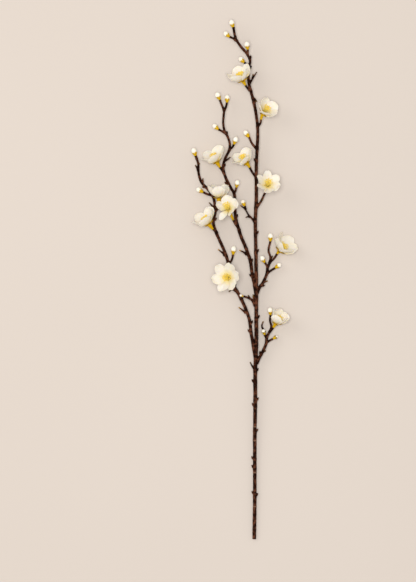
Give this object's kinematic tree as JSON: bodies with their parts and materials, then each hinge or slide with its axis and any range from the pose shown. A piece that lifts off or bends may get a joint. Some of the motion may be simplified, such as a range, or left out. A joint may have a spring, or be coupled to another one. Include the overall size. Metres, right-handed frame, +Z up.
{
  "type": "plum blossom branch",
  "caption": "Cut plum blossom branch lying down: dark forked twigs with open cream blossoms and closed round buds on golden calyxes.",
  "frame": {"origin": "bottom centre of the branch's bounding box, on the surface it lies on", "axes": "+Y along the stem from its cut end to its tip, +Z up from the surface, +X to the stem's right seen from above"},
  "size_m": [0.114, 0.5501, 0.0369],
  "materials": {
    "bark": "matte",
    "calyx": "satin",
    "petal": "satin",
    "stamen": "matte",
    "bud": "satin"
  },
  "bodies": {
    "root": {"branch": "bark", "bloom_01_calyx": "calyx", "bloom_01_petals": "petal", "bloom_01_stamens": "stamen", "bloom_02_calyx": "calyx", "bloom_02_petals": "petal", "bloom_02_stamens": "stamen", "bloom_03_calyx": "calyx", "bloom_03_petals": "petal", "bloom_03_stamens": "stamen", "bloom_04_calyx": "calyx", "bloom_04_petals": "petal", "bloom_04_stamens": "stamen", "bloom_05_calyx": "calyx", "bloom_05_petals": "petal", "bloom_05_stamens": "stamen", "bloom_06_calyx": "calyx", "bloom_06_petals": "petal", "bloom_06_stamens": "stamen", "bloom_07_calyx": "calyx", "bloom_07_petals": "petal", "bloom_07_stamens": "stamen", "bloom_08_calyx": "calyx", "bloom_08_petals": "petal", "bloom_08_stamens": "stamen", "bloom_09_calyx": "calyx", "bloom_09_petals": "petal", "bloom_09_stamens": "stamen", "bloom_10_calyx": "calyx", "bloom_10_petals": "petal", "bloom_10_stamens": "stamen", "bloom_11_calyx": "calyx", "bloom_11_petals": "petal", "bloom_11_stamens": "stamen", "bud_01": "bud", "bud_02": "bud", "bud_03": "bud", "bud_04": "bud", "bud_05": "bud", "bud_06": "bud", "bud_07": "bud", "bud_08": "bud", "bud_09": "bud", "bud_10": "bud", "bud_11": "bud", "bud_12": "bud", "bud_13": "bud", "bud_14": "bud", "bud_15": "bud", "bud_16": "bud", "bud_17": "bud", "bud_18": "bud", "bud_19": "bud", "bud_20": "bud", "bud_21": "bud"}
  },
  "joints": []
}
